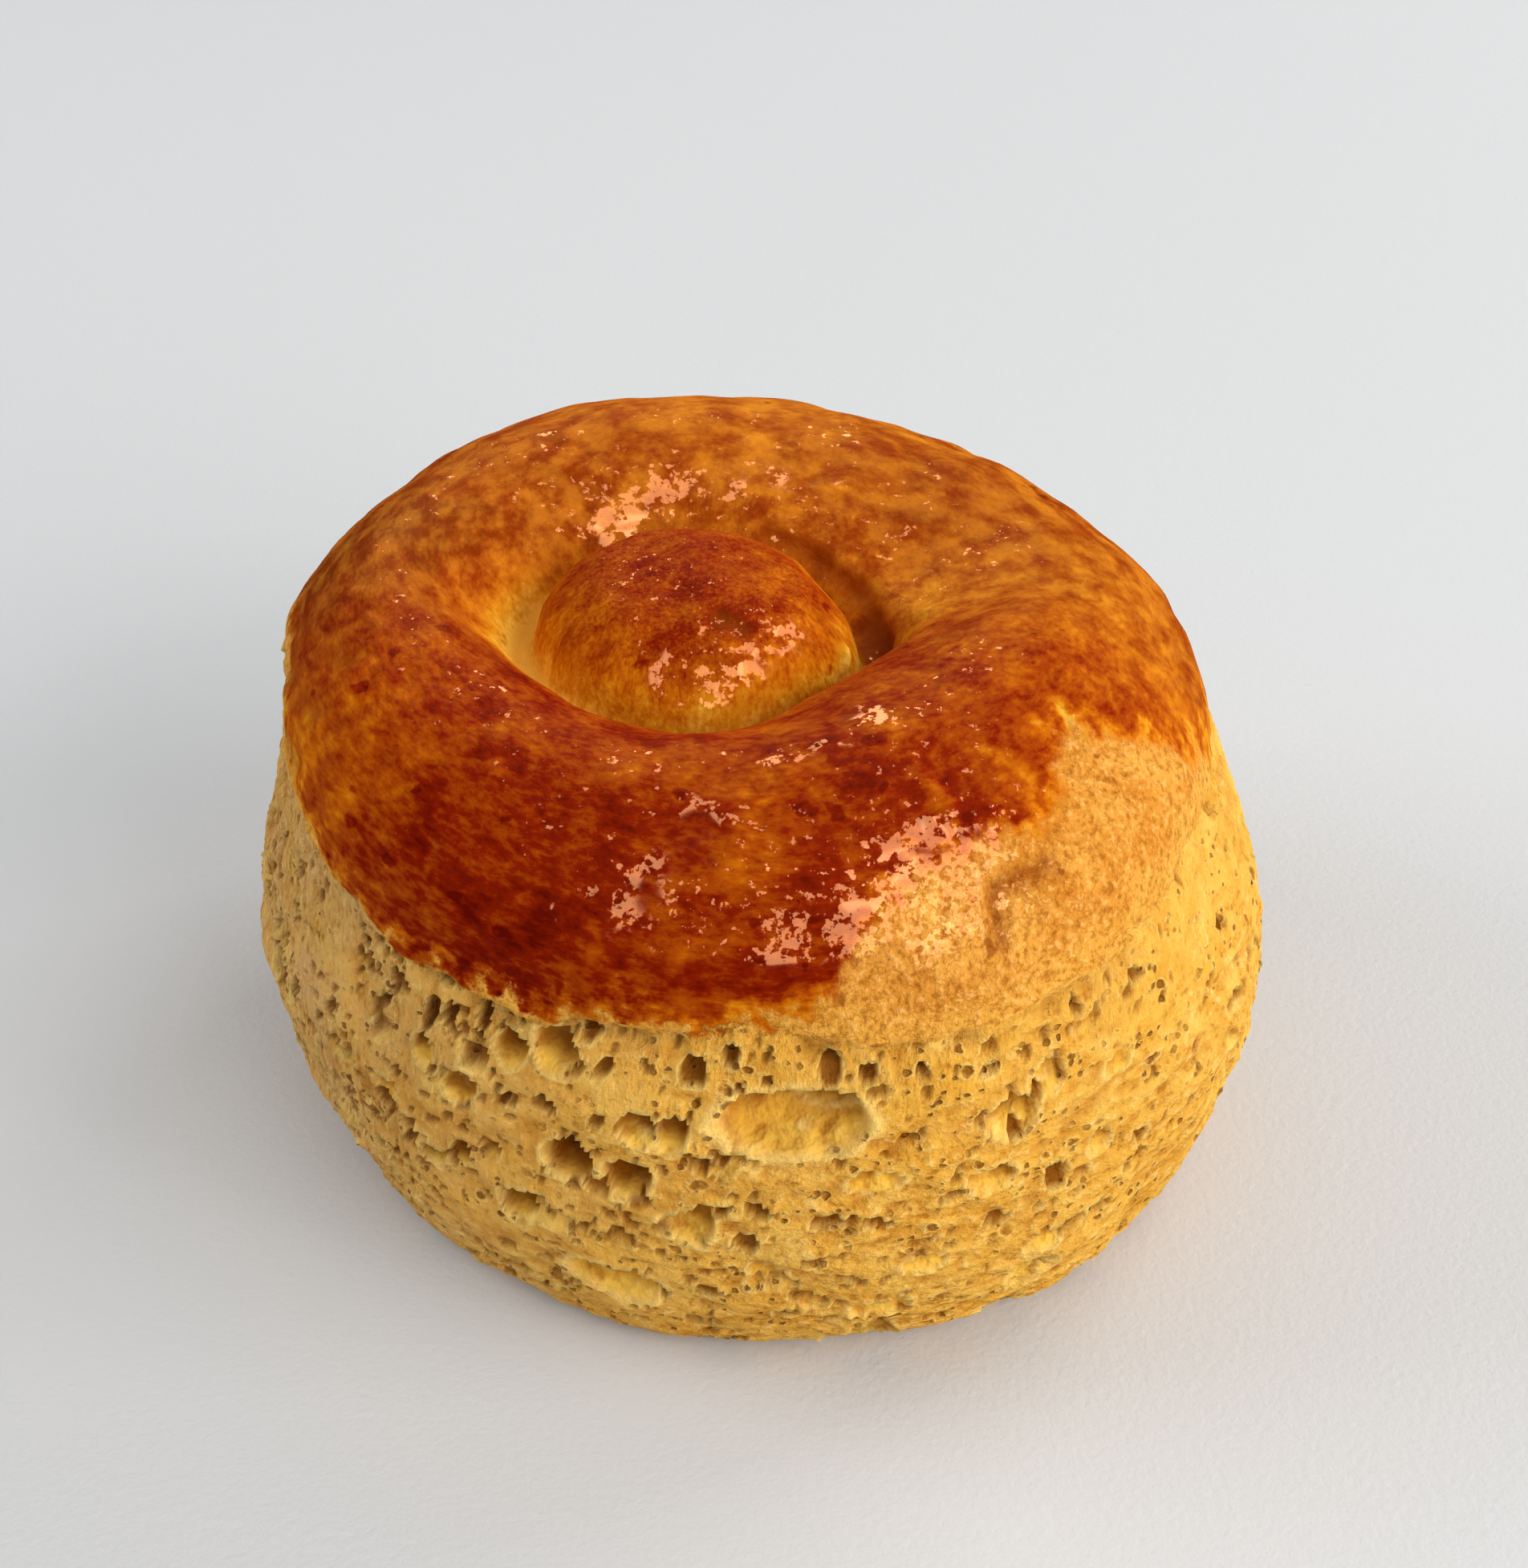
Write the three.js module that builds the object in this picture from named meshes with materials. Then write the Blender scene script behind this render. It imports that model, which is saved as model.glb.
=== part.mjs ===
// A round yeast-raised scone, baked in one piece. A cutter pressed into the top before baking left a
// round button in the middle, and the dough rose round it as a thick ring with a groove between.
// The surface is a stack of closed rings, from the flat base up the bulging side, over the shoulder
// and the ring's crest, down into the groove and up over the button, joined by smooth curves.
// Millimetres, +Z up, the middle of the base's bounding box at the origin, +Y towards the back.
import * as THREE from "three";

// Driving dimensions.
const BODY_RADIUS = 34.3; // widest part of the side, near half height
const CRUST_HEIGHT = 28.0; // where the glazed crust ends and the open crumb of the side begins
const CREST_HEIGHT = 39.2; // top of the ring of dough
const GROOVE_HEIGHT = 33.4; // bottom of the groove round the button
const BUTTON_RADIUS = 9.3; // side of the button
const BUTTON_HEIGHT = 40.0;
const BUTTON_X = -4.6; // the cutter was pressed in off centre
const BUTTON_Y = -0.8;

// How finely the surface is divided.
const COLUMNS = 64;

// Each ring: radius, height, how far its centre has moved from the axis towards the button's (0 to
// 1), how much its outline follows the crust rather than the body (null follows the button), how
// much it shares the top's lean, and the number of steps up to the next ring.
const RINGS = [
  { name: "base_edge", radius: 0.845 * BODY_RADIUS, height: 0, shift: 0, crust: 0, lean: 0, steps: 2 },
  { name: "foot", radius: 0.91 * BODY_RADIUS, height: 2, shift: 0, crust: 0, lean: 0, steps: 3 },
  { name: "side_low", radius: 0.977 * BODY_RADIUS, height: 8, shift: 0.04, crust: 0, lean: 0.1, steps: 3 },
  { name: "side_mid", radius: BODY_RADIUS, height: 15.5, shift: 0.1, crust: 0.1, lean: 0.4, steps: 3 },
  { name: "side_high", radius: 0.971 * BODY_RADIUS, height: 22.5, shift: 0.08, crust: 0.5, lean: 0.7, steps: 3 },
  { name: "crust_edge", radius: 0.93 * BODY_RADIUS, height: CRUST_HEIGHT, shift: 0.06, crust: 1, lean: 1, steps: 3 },
  { name: "shoulder", radius: 0.892 * BODY_RADIUS, height: CREST_HEIGHT - 5.8, shift: 0.22, crust: 1, lean: 1, steps: 3 },
  { name: "crest_outside", radius: 0.77 * BODY_RADIUS, height: CREST_HEIGHT - 1.6, shift: 0.43, crust: 1, lean: 1, steps: 3 },
  { name: "crest", radius: 0.618 * BODY_RADIUS, height: CREST_HEIGHT, shift: 0.61, crust: 0.6, lean: 1, steps: 3 },
  { name: "crest_inside", radius: 0.484 * BODY_RADIUS, height: CREST_HEIGHT - 0.9, shift: 0.83, crust: 0.3, lean: 1, steps: 2 },
  { name: "rim", radius: BUTTON_RADIUS + 3.4, height: CREST_HEIGHT - 3.2, shift: 0.98, crust: null, lean: 1, steps: 2 },
  { name: "groove", radius: BUTTON_RADIUS + 1.7, height: GROOVE_HEIGHT, shift: 1, crust: null, lean: 1, steps: 2 },
  { name: "button_foot", radius: BUTTON_RADIUS + 0.9, height: GROOVE_HEIGHT + 0.1, shift: 1, crust: null, lean: 1, steps: 2 },
  { name: "button_side", radius: BUTTON_RADIUS, height: BUTTON_HEIGHT - 4, shift: 1, crust: null, lean: 1, steps: 2 },
  { name: "button_shoulder", radius: 0.73 * BUTTON_RADIUS, height: BUTTON_HEIGHT - 1.5, shift: 1, crust: null, lean: 1, steps: 2 },
  { name: "button_top", radius: 0.34 * BUTTON_RADIUS, height: BUTTON_HEIGHT - 0.3, shift: 1, crust: null, lean: 1, steps: 2 },
  { name: "apex", radius: 0, height: BUTTON_HEIGHT, shift: 1, crust: null, lean: 1, steps: 0 },
];

// Slow waves round the scone, as [turns, cosine share, sine share].
const BODY_OUTLINE = [[2, 0, -0.023], [3, 0.002, 0.005]];
const CRUST_OUTLINE = [[2, -0.034, 0.008], [3, -0.011, 0], [4, -0.013, 0.019]];
const BUTTON_OUTLINE = [[2, 0.02, -0.015], [3, 0.012, 0.01], [5, 0.006, -0.006]];
const TOP_WAVE = [[2, 0, -0.7], [3, -0.3, -0.5]]; // mm of height
const TOP_LEAN = { x: -0.041, y: 0.034 }; // mm of height for each mm along x and y
const FULL_WAVE_RADIUS = 20; // inside this the wave fades towards the middle

// Soft swellings and dents, each a push that fades with distance from its centre.
const PUSHES = [
  { name: "back_left_swelling", centre: [-25, 17, 34], spread: 11, push: [-0.6, 0.1, 0.3] },
  { name: "left_swelling", centre: [-31, 4, 32], spread: 9, push: [-1.0, 0, 0.3] },
  { name: "left_shoulder_fold", centre: [-32, -3, 31.5], spread: 3.2, push: [0.7, 0, -0.9] },
  { name: "left_groove_opening", centre: [-18.5, -0.5, 36.5], spread: 5, push: [-0.9, 0, -1.3] },
  { name: "back_groove_filling", centre: [1, 9, 34], spread: 5.5, push: [0, 0, 1.6] },
  { name: "right_pit", centre: [7.6, -2.4, 34], spread: 2.6, push: [0.5, 0, -1.6] },
  { name: "right_valley", centre: [13, 5, 38], spread: 6.5, push: [0, 0, -1.1] },
  { name: "right_front_swelling", centre: [15, -8, 38], spread: 8, push: [0, 0, 0.7] },
];

const wave = (terms, angle) =>
  terms.reduce((sum, [turns, c, s]) => sum + c * Math.cos(turns * angle) + s * Math.sin(turns * angle), 0);

// The point of one ring at one heading.
function ringPoint(ring, angle) {
  const outline =
    ring.crust === null
      ? 1 + wave(BUTTON_OUTLINE, angle)
      : 1 + (1 - ring.crust) * wave(BODY_OUTLINE, angle) + ring.crust * wave(CRUST_OUTLINE, angle);
  const x = ring.shift * BUTTON_X + ring.radius * outline * Math.cos(angle);
  const y = ring.shift * ring.shift * BUTTON_Y + ring.radius * outline * Math.sin(angle);
  const fade = Math.min(1, ring.radius / FULL_WAVE_RADIUS);
  const lean = TOP_LEAN.x * x + TOP_LEAN.y * y + fade * wave(TOP_WAVE, angle);
  return new THREE.Vector3(x, y, ring.height + ring.lean * lean);
}

// A Catmull-Rom step between b and c, at t from 0 to 1.
function between(a, b, c, d, t) {
  const blend = (a, b, c, d) =>
    0.5 * (2 * b + (c - a) * t + (2 * a - 5 * b + 4 * c - d) * t * t + (3 * b - a - 3 * c + d) * t * t * t);
  return new THREE.Vector3(blend(a.x, b.x, c.x, d.x), blend(a.y, b.y, c.y, d.y), blend(a.z, b.z, c.z, d.z));
}

function pushed(point) {
  const moved = point.clone();
  for (const { centre, spread, push } of PUSHES) {
    const away = point.distanceToSquared(new THREE.Vector3(...centre)) / (spread * spread);
    moved.addScaledVector(new THREE.Vector3(...push), Math.exp(-away));
  }
  return moved;
}

// The points up one heading, from the base's edge to just under the apex.
function profile(angle) {
  const rings = RINGS.map((ring) => ringPoint(ring, angle));
  const below = rings[0].clone().multiplyScalar(2).sub(rings[1]);
  const top = rings.at(-1);
  const past = rings.at(-2); // the curve runs level over the apex, so its next point mirrors this one
  const beyond = new THREE.Vector3(2 * top.x - past.x, 2 * top.y - past.y, past.z);
  const all = [below, ...rings, beyond];
  const points = [];
  RINGS.forEach(({ steps }, i) => {
    for (let k = 0; k < steps; k++) points.push(between(all[i], all[i + 1], all[i + 2], all[i + 3], k / steps));
  });
  return points.map((point, i) => (i === 0 ? point : pushed(point)));
}

function sconeGeometry() {
  const columns = Array.from({ length: COLUMNS }, (_, i) => profile((i / COLUMNS) * 2 * Math.PI));
  const rows = columns[0].length;
  const apex = pushed(ringPoint(RINGS.at(-1), 0));
  const points = [...columns.flat(), new THREE.Vector3(0, 0, 0), apex];
  const base = COLUMNS * rows;
  const faces = [];
  for (let i = 0; i < COLUMNS; i++) {
    const here = i * rows;
    const next = ((i + 1) % COLUMNS) * rows;
    faces.push(base, next, here);
    for (let k = 0; k + 1 < rows; k++) {
      faces.push(here + k, next + k, next + k + 1);
      faces.push(here + k, next + k + 1, here + k + 1);
    }
    faces.push(here + rows - 1, next + rows - 1, base + 1);
  }
  const geometry = new THREE.BufferGeometry().setFromPoints(points);
  geometry.setIndex(faces);
  geometry.computeBoundingBox();
  const middle = geometry.boundingBox.getCenter(new THREE.Vector3());
  geometry.translate(-middle.x, -middle.y, 0);
  geometry.computeVertexNormals();
  return geometry;
}

const scone = new THREE.Mesh(
  sconeGeometry(),
  new THREE.MeshStandardMaterial({ color: 0xc8752a, roughness: 0.5, metalness: 0 }),
);
scone.name = "scone";

const part = new THREE.Group();
part.add(scone);

export default part;
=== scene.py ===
# %% [markdown]
# # A round glazed scone
# This lesson builds one baked scone: a fat round of yeast dough with an open, torn crumb round its
# side, a thick glazed ring of crust on top, and a button of dough in a groove at the middle.
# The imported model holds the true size. Here the same form is worked out again, far finer, and
# the bubbles of the crumb and the unevenness of the crust are pushed into it.

import itertools

import bpy
import numpy as np
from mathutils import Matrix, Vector


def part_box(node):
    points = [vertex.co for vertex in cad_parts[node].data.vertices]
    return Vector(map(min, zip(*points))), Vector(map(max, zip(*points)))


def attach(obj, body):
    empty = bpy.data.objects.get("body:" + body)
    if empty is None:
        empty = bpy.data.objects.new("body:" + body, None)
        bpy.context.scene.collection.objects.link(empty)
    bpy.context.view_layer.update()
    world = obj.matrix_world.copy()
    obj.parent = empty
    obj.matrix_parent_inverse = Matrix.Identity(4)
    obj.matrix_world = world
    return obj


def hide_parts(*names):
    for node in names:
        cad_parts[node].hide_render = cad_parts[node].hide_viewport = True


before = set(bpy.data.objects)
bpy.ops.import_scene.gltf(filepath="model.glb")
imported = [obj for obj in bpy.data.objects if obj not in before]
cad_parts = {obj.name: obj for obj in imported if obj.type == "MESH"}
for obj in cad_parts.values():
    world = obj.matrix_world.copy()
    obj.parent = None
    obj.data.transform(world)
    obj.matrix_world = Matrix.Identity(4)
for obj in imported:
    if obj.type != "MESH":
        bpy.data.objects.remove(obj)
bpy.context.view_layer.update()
low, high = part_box("scone")
MM = 0.001  # metres in a millimetre
print("scone, mm:", [round(length / MM, 1) for length in high - low])

# %% [markdown]
# ## The form of the dough
# The dough was a thick disc. It stood flat on the tray, swelled out at the side as it rose, and set
# first where the glaze dried on top. A cutter pressed into the top left a round button, and the dough
# round it rose into a ring. Such a form is easily drawn as a stack of closed rings, from the base
# to the middle of the button, with a smooth curve through them. Each ring has its own radius,
# height and centre, and slow waves round its outline keep it from looking turned on a lathe.

# %% The rings, in millimetres
BODY_RADIUS = 34.3
CRUST_HEIGHT = 28.0
CREST_HEIGHT = 39.2
GROOVE_HEIGHT = 33.4
BUTTON_RADIUS = 9.3
BUTTON_HEIGHT = 40.0
BUTTON_CENTRE = np.array([-4.6, -0.8])

# Radius, height, shift towards the button's centre, share of the crust's outline, share of the
# button's outline, share of the top's lean.
RINGS = np.array([
    [0.845 * BODY_RADIUS, 0, 0, 0, 0, 0],
    [0.91 * BODY_RADIUS, 2, 0, 0, 0, 0],
    [0.977 * BODY_RADIUS, 8, 0.04, 0, 0, 0.1],
    [BODY_RADIUS, 15.5, 0.1, 0.1, 0, 0.4],
    [0.971 * BODY_RADIUS, 22.5, 0.08, 0.5, 0, 0.7],
    [0.93 * BODY_RADIUS, CRUST_HEIGHT, 0.06, 1, 0, 1],
    [0.892 * BODY_RADIUS, CREST_HEIGHT - 5.8, 0.22, 1, 0, 1],
    [0.77 * BODY_RADIUS, CREST_HEIGHT - 1.6, 0.43, 1, 0, 1],
    [0.618 * BODY_RADIUS, CREST_HEIGHT, 0.61, 0.6, 0, 1],
    [0.484 * BODY_RADIUS, CREST_HEIGHT - 0.9, 0.83, 0.3, 0, 1],
    [BUTTON_RADIUS + 3.4, CREST_HEIGHT - 3.2, 0.98, 0, 1, 1],
    [BUTTON_RADIUS + 1.7, GROOVE_HEIGHT, 1, 0, 1, 1],
    [BUTTON_RADIUS + 0.9, GROOVE_HEIGHT + 0.1, 1, 0, 1, 1],
    [BUTTON_RADIUS, BUTTON_HEIGHT - 4, 1, 0, 1, 1],
    [0.73 * BUTTON_RADIUS, BUTTON_HEIGHT - 1.5, 1, 0, 1, 1],
    [0.34 * BUTTON_RADIUS, BUTTON_HEIGHT - 0.3, 1, 0, 1, 1],
    [0, BUTTON_HEIGHT, 1, 0, 1, 1],
])
TOP_RING = len(RINGS) - 1

# Slow waves round the scone: turns, cosine share, sine share.
BODY_OUTLINE = [[2, 0, -0.023], [3, 0.002, 0.005]]
CRUST_OUTLINE = [[2, -0.034, 0.008], [3, -0.011, 0], [4, -0.013, 0.019]]
BUTTON_OUTLINE = [[2, 0.02, -0.015], [3, 0.012, 0.01], [5, 0.006, -0.006]]
TOP_WAVE = [[2, 0, -0.7], [3, -0.3, -0.5]]  # mm of height
TOP_LEAN = np.array([-0.041, 0.034])  # mm of height for each mm along x and y
FULL_WAVE_RADIUS = 20.0

# Soft swellings and dents: centre, width, push.
PUSHES = [
    ((-25, 17, 34), 11, (-0.6, 0.1, 0.3)),  # back left swelling
    ((-31, 4, 32), 9, (-1.0, 0, 0.3)),  # left swelling
    ((-32, -3, 31.5), 3.2, (0.7, 0, -0.9)),  # fold in the left shoulder
    ((-18.5, -0.5, 36.5), 5, (-0.9, 0, -1.3)),  # the groove opens to the left
    ((1, 9, 34), 5.5, (0, 0, 1.6)),  # the groove is filled at the back
    ((7.6, -2.4, 34), 2.6, (0.5, 0, -1.6)),  # pit on the right of the button
    ((13, 5, 38), 6.5, (0, 0, -1.1)),  # valley across the ring on the right
    ((15, -8, 38), 8, (0, 0, 0.7)),  # swelling in front of it
]
print(len(RINGS), "rings,", len(PUSHES), "swellings and dents")


# %% A point of the form
def wave(terms, heading):
    """The sum of each term's cosine share x cos(turns x heading) and sine share x sin(turns x heading)."""
    return sum(c * np.cos(n * heading) + s * np.sin(n * heading) for n, c, s in terms)


def ring_point(ring, heading):
    """A ring's centre plus its radius x its outline's wave, along the heading. A ring past either end is
    taken as the end ring here; stacked_point mirrors it, so that the curve leaves the base straight and
    tops out level."""
    radius, height, shift, crust, button, lean = RINGS[np.clip(ring, 0, TOP_RING)].T
    outline = 1 + button * wave(BUTTON_OUTLINE, heading) + (1 - button) * (
        (1 - crust) * wave(BODY_OUTLINE, heading) + crust * wave(CRUST_OUTLINE, heading))
    x = shift * BUTTON_CENTRE[0] + radius * outline * np.cos(heading)
    y = shift**2 * BUTTON_CENTRE[1] + radius * outline * np.sin(heading)
    fade = np.minimum(1, radius / FULL_WAVE_RADIUS)
    rise = TOP_LEAN[0] * x + TOP_LEAN[1] * y + fade * wave(TOP_WAVE, heading)
    return np.stack([x, y, height + lean * rise], -1)


def stacked_point(ring, heading):
    """ring_point, with the rings past both ends mirrored."""
    point = ring_point(ring, heading)
    first, second = ring_point(0 * ring, heading), ring_point(0 * ring + 1, heading)
    top, under = ring_point(0 * ring + TOP_RING, heading), ring_point(0 * ring + TOP_RING - 1, heading)
    beyond = np.concatenate([2 * top[:, :2] - under[:, :2], under[:, 2:]], 1)
    point = np.where((ring < 0)[:, None], 2 * first - second, point)
    return np.where((ring > TOP_RING)[:, None], beyond, point)


def form_point(heading, rise):
    """The smooth form in mm. Rise runs from 0 at the base's edge to the last ring's number at the
    apex, and along the flat base from -1 at its middle to 0. Between rings it is a Catmull-Rom
    curve, ((2b) + (c - a)t + (2a - 5b + 4c - d)t^2 + (3b - a - 3c + d)t^3) / 2, and then each
    push is added, faded by exp(-distance^2 / width^2)."""
    up = np.clip(rise, 0, TOP_RING)
    ring = np.minimum(np.floor(up).astype(int), TOP_RING - 1)
    t = (up - ring)[:, None]
    a, b, c, d = (stacked_point(ring + step, heading) for step in (-1, 0, 1, 2))
    curve = 2 * b + (c - a) * t + (2 * a - 5 * b + 4 * c - d) * t**2 + (3 * b - a - 3 * c + d) * t**3
    point = curve / 2
    moved = point.copy()
    for centre, width, push in PUSHES:
        away = ((point - np.array(centre)) ** 2).sum(1) / width**2
        moved += np.exp(-away)[:, None] * np.array(push)
    moved = np.where((up > 0)[:, None], moved, point)
    inward = np.clip(1 + rise, 0, 1)[:, None]
    return np.where((rise < 0)[:, None], moved * [1, 1, 0] * inward, moved)


# %% [markdown]
# ## Where the vertices go
# A bubble of the crumb can be half a millimetre across, and the crust is smooth, so the side
# needs the most vertices. The rows are spaced along the profile's length, close on the
# side and wider on the crust and base. The number of columns halves towards each pole, with three
# triangles for every two columns below and one above. The columns also crowd gently towards the
# front, where the largest bubbles are.

# %% Rows and columns
# Columns, and the length along the profile at which they start, with the steps between rows, in
# mm. Lengths are counted from the base's edge, up the side.
SPANS = [
    (24, -26.5, 2.2), (48, -23.5, 1.8), (96, -19.5, 1.5), (192, -11.0, 1.2),
    (384, -0.9, 0.45), (768, 0.0, 0.323), (384, 31.3, 0.6), (192, 51.0, 0.5), (96, 70.5, 0.45),
    (48, 72.3, 0.45), (24, 73.2, 0.3),
]
FRONT = np.radians(-100)
CROWDING = 0.3
PROFILE_POINTS = 1701  # on the profile whose length is measured
APEX_GAP = 0.3  # mm from the last row to the middle of the button


def headings(columns):
    """Evenly spaced angles u, moved to u + crowding x sin(u - front), negative at the front's sides,
    so that columns are closest at the front and furthest apart at the back."""
    u = np.arange(columns) / columns * 2 * np.pi
    return u - CROWDING * np.sin(u - FRONT)


# The length along the profile at each rise, as a mean over eight headings.
many_rises = np.linspace(-1, TOP_RING, PROFILE_POINTS)
profiles = [form_point(np.full(PROFILE_POINTS, turn), many_rises) for turn in np.arange(8) * np.pi / 4]
steps = np.mean([np.linalg.norm(np.diff(p, axis=0), axis=1) for p in profiles], axis=0)
lengths = np.concatenate([[0], np.cumsum(steps)])
lengths -= np.interp(0, many_rises, lengths)
starts = [span[1] for span in SPANS] + [lengths[-1] - APEX_GAP]
rows = []
for (columns, start, step), stop in zip(SPANS, starts[1:]):
    count = max(1, round((stop - start) / step))
    rows += [(columns, start + (stop - start) * k / count) for k in range(count)]
print(len(rows), "rows, from", round(lengths[0], 2), "to", round(lengths[-1], 2), "mm along the profile")

# %% The grid's headings and rises
row_columns = np.array([columns for columns, _ in rows])
row_start = 1 + np.concatenate([[0], np.cumsum(row_columns)])  # vertex 0 is the middle of the base
heading = np.concatenate([[0.0]] + [headings(columns) for columns, _ in rows] + [[0.0]])
row_rise = np.interp([length for _, length in rows], lengths, many_rises)
rise = np.concatenate([[-1.0], np.repeat(row_rise, row_columns), [TOP_RING]])
form = form_point(heading, rise)
height = form[:, 2].copy()
length_up = np.interp(rise, many_rises, lengths)
degrees = (np.degrees(heading) + 180) % 360 - 180
print(len(form), "vertices")


# %% Faces between rows
def faces_between(first, second, below, above):
    """The triangles between two closed rows. Rows of equal number join two by two. Where one row has
    half as many, each of its steps meets two steps of the other in three triangles."""
    k = np.arange(min(below, above))
    n = (k + 1) % len(k)
    if below == above:
        lower, upper = first + k, second + k
        lower_next, upper_next = first + n, second + n
        return np.concatenate([np.stack([lower, lower_next, upper_next], 1),
                               np.stack([lower, upper_next, upper], 1)])
    if below > above:
        left, middle, right = first + 2 * k, first + 2 * k + 1, first + (2 * k + 2) % below
        up, up_next = second + k, second + n
        return np.concatenate([np.stack([left, middle, up], 1), np.stack([middle, right, up_next], 1),
                               np.stack([middle, up_next, up], 1)])
    left, middle, right = second + 2 * k, second + 2 * k + 1, second + (2 * k + 2) % above
    down, down_next = first + k, first + n
    return np.concatenate([np.stack([down, middle, left], 1), np.stack([down_next, right, middle], 1),
                           np.stack([down, down_next, middle], 1)])


faces = [faces_between(row_start[i], row_start[i + 1], row_columns[i], row_columns[i + 1])
         for i in range(len(rows) - 1)]
first_row = row_start[0] + np.arange(row_columns[0])
last_row = row_start[-2] + np.arange(row_columns[-1])
faces.append(np.stack([0 * first_row, np.roll(first_row, -1), first_row], 1))
faces.append(np.stack([last_row, np.roll(last_row, -1), 0 * last_row + len(form) - 1], 1))
faces = np.concatenate(faces)
print(len(faces), "triangles")

# %% [markdown]
# ## Which way is out
# Relief is pushed out and in along the surface's normal, and bubbles are slanted along the profile. Both
# directions come from the form itself: small steps in heading and in rise give two
# tangents, and their cross product is the normal. Low on the side the push is kept level, so that
# nothing moves below the base.

# %% Normals and tangents
NUDGE = 1e-3
along = form_point(heading + NUDGE, rise) - form_point(heading - NUDGE, rise)
upward = form_point(heading, rise + NUDGE) - form_point(heading, rise - NUDGE)
out = np.cross(along, upward)
out[:, 2] *= np.clip(height / 4, 0, 1)
out[0], out[-1] = (0, 0, -1), (0, 0, 1)
out /= np.maximum(np.linalg.norm(out, axis=1), 1e-9)[:, None]
upward /= np.maximum(np.linalg.norm(upward, axis=1), 1e-9)[:, None]
side_only = np.clip(1 + rise, 0, 1) ** 3  # the push fades away from the edge of the flat base
print("normals of length", round(float(np.linalg.norm(out, axis=1).mean()), 3))

# %% [markdown]
# ## Noise that can be repeated
# Dough is uneven at every size. Smooth noise from seeded random numbers gives that unevenness and is
# the same each time the script runs. It is read at points in space, so it has no seam.


# %% Smooth noise
LATTICE = 64


def soft_noise(points, grain, seed, octaves=1):
    """Random values from -1 to 1 sit at the corners of a lattice whose cells are one grain wide, in mm.
    Between corners they are blended along each axis by 3t^2 - 2t^3. Each further octave adds half
    as much at half the grain."""
    values = np.random.default_rng(seed).uniform(-1, 1, (LATTICE,) * 3)
    total = np.zeros(len(points))
    for octave in range(octaves):
        place = points / grain * 2**octave + 17.3 * octave
        corner = np.floor(place).astype(int)
        t = place - corner
        t = t * t * (3 - 2 * t)
        for step in itertools.product((0, 1), repeat=3):
            weight = np.prod(np.where(step, t, 1 - t), axis=1)
            x, y, z = ((corner + step) % LATTICE).T
            total += weight * values[x, y, z] / 2**octave
    return total


def smooth_step(value, start, stop):
    """0 before start, 1 after stop, and 3t^2 - 2t^3 between."""
    t = np.clip((value - start) / (stop - start), 0, 1)
    return t * t * (3 - 2 * t)


# %% [markdown]
# ## Where the crust ends
# The top was brushed with egg and dried into a skin. When the dough rose, the skin held and the
# side tore, so the crust ends in a ragged line that climbs towards the left. The glaze doesn't reach that
# line everywhere: on the right the brush missed the shoulder, which stayed golden and matt. Both
# lines are given by a few headings with the height or the distance there.

# %% The edge of the crust and of the glaze
EDGE_HEIGHT = np.array([
    (-180, 33.4), (-163, 33.0), (-154, 31.8), (-146, 29.8), (-139, 28.4), (-132, 27.0), (-122, 26.1),
    (-114, 26.0), (-108, 26.5), (-91, 27.3), (-74, 26.5), (-67, 26.2), (-57, 27.4), (-46, 28.3),
    (-32, 28.6), (-9, 27.4), (30, 27.6), (75, 28.8), (115, 27.8), (150, 30.0),
])
GLAZE_START = np.array([  # mm up the profile from the crust's edge
    (-180, 0.5), (-140, 0.5), (-125, 1.0), (-111, 1.6), (-105, 2.3), (-97, 1.6), (-88, 1.9), (-82.5, 3.8),
    (-79.5, 7.2), (-76, 9.4), (-70, 11.2), (-61, 10.2), (-52, 9.4), (-46, 10.6), (-43, 12.0),
    (-40, 11.8), (-33, 9.5), (-25, 6.0), (-12, 2.8), (10, 1.6), (60, 0.8), (120, 1.2),
])
GLAZE_FADE = np.array([  # mm over which the glaze's colour fades into the golden skin
    (-180, 0.7), (-100, 0.7), (-86, 0.9), (-78, 1.2), (-60, 1.6), (-45, 1.8), (-25, 2.0), (0, 1.6),
    (60, 1.0),
])


def round_the_scone(table):
    """The table's value at each vertex's heading, in straight steps, joined up past 180 degrees."""
    return np.interp(degrees, table[:, 0], table[:, 1], period=360)


ragged = 0.55 * soft_noise(form, 3.2, 11, 3)
slant = np.clip(1 / np.maximum(np.abs(upward[:, 2]), 0.35), 1, 2.5)
above_edge = (height - round_the_scone(EDGE_HEIGHT)) * slant + ragged
inner_part = rise > 8
above_edge = np.where(inner_part, 30.0, np.where(rise < 2.5, -20.0, above_edge))
edge_rise = np.interp(round_the_scone(EDGE_HEIGHT), RINGS[:9, 1], np.arange(9))
edge_length = np.interp(edge_rise, many_rises, lengths)
in_glaze = length_up - edge_length - round_the_scone(GLAZE_START) + 1.0 * soft_noise(form, 4.0, 12, 3)
crust = smooth_step(above_edge, -0.15, 0.25)
print("crust covers", round(100 * float(crust[rise > 0].mean())), "% of the upper vertices")
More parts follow.
